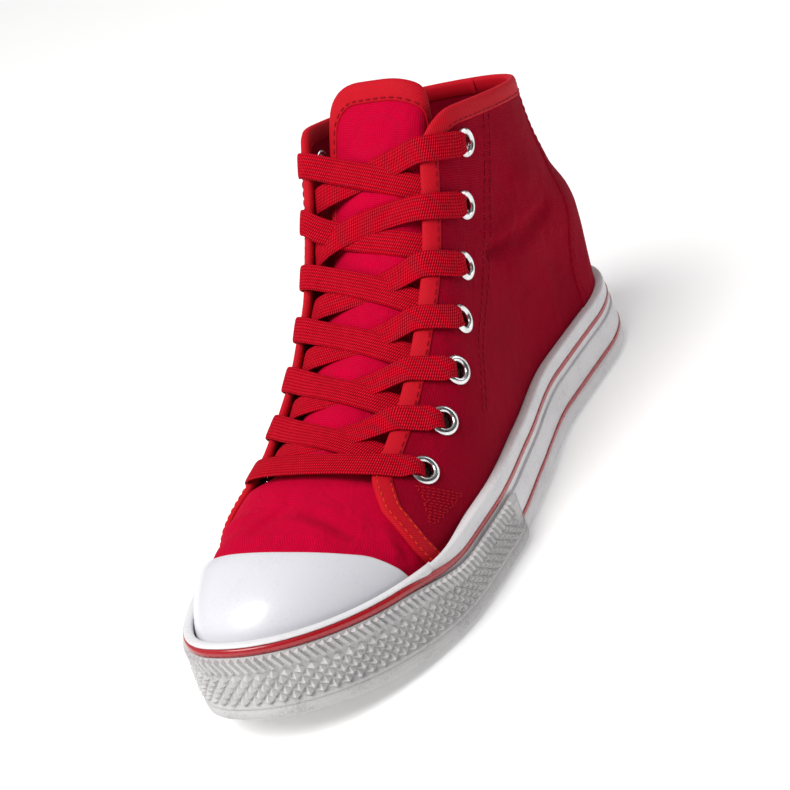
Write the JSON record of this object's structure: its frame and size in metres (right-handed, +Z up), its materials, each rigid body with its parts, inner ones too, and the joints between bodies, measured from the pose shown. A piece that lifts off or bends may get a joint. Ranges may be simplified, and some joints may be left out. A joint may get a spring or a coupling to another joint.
{
  "type": "high-top sneaker",
  "caption": "Left canvas high-top lace-up shoe with rubber toe cap, sole and side band, and a short zip on the inner ankle.",
  "frame": {"origin": "on the floor under the middle of the heel, on the flat underside of the outsole's heel", "axes": "+X forward to the toe, +Y to the shoe's outer (lateral) side, +Z up"},
  "size_m": [0.2617, 0.0892, 0.1362],
  "materials": {
    "canvas": "matt woven cotton, crimson",
    "rubber_white": "smooth white rubber, satin",
    "outsole": "matt white rubber",
    "insole": "matt cotton",
    "lace": "flat ribbed weave, red",
    "eyelet": "polished, rolled",
    "zip_tape": "matt black weave",
    "zip_metal": "dull antique metal"
  },
  "bodies": {
    "shoe": {"outsole": "outsole", "foxing": "rubber_white", "toe_bumper": "rubber_white", "toe_cap": "rubber_white", "toe_bead": "rubber_white", "upper": "canvas", "tongue": "canvas", "insole": "insole", "eyelet_lateral_1": "eyelet", "eyelet_lateral_2": "eyelet", "eyelet_lateral_3": "eyelet", "eyelet_lateral_4": "eyelet", "eyelet_lateral_5": "eyelet", "eyelet_lateral_6": "eyelet", "eyelet_lateral_7": "eyelet", "eyelet_medial_1": "eyelet", "eyelet_medial_2": "eyelet", "eyelet_medial_3": "eyelet", "eyelet_medial_4": "eyelet", "eyelet_medial_5": "eyelet", "eyelet_medial_6": "eyelet", "eyelet_medial_7": "eyelet", "lace_bar": "lace", "lace_cross_1": "lace", "lace_cross_2": "lace", "lace_cross_3": "lace", "lace_cross_4": "lace", "lace_cross_5": "lace", "lace_cross_6": "lace", "zip_tape": "zip_tape", "zip_chain": "zip_metal", "zip_slider": "zip_metal"},
    "pull_link": {"zip_link": "zip_metal"},
    "pull_tab": {"zip_tab": "zip_metal"}
  },
  "joints": [
    {"name": "link_swing", "type": "hinge", "parent": "shoe", "child": "pull_link", "pos_m": [0.0104, -0.03094, 0.1084], "axis": [-1, 0, 0], "range_deg": [0, 165]},
    {"name": "tab_swing", "type": "hinge", "parent": "pull_link", "child": "pull_tab", "pos_m": [0.0104, -0.03094, 0.0934], "axis": [-1, 0, 0], "range_deg": [0, 100]}
  ]
}
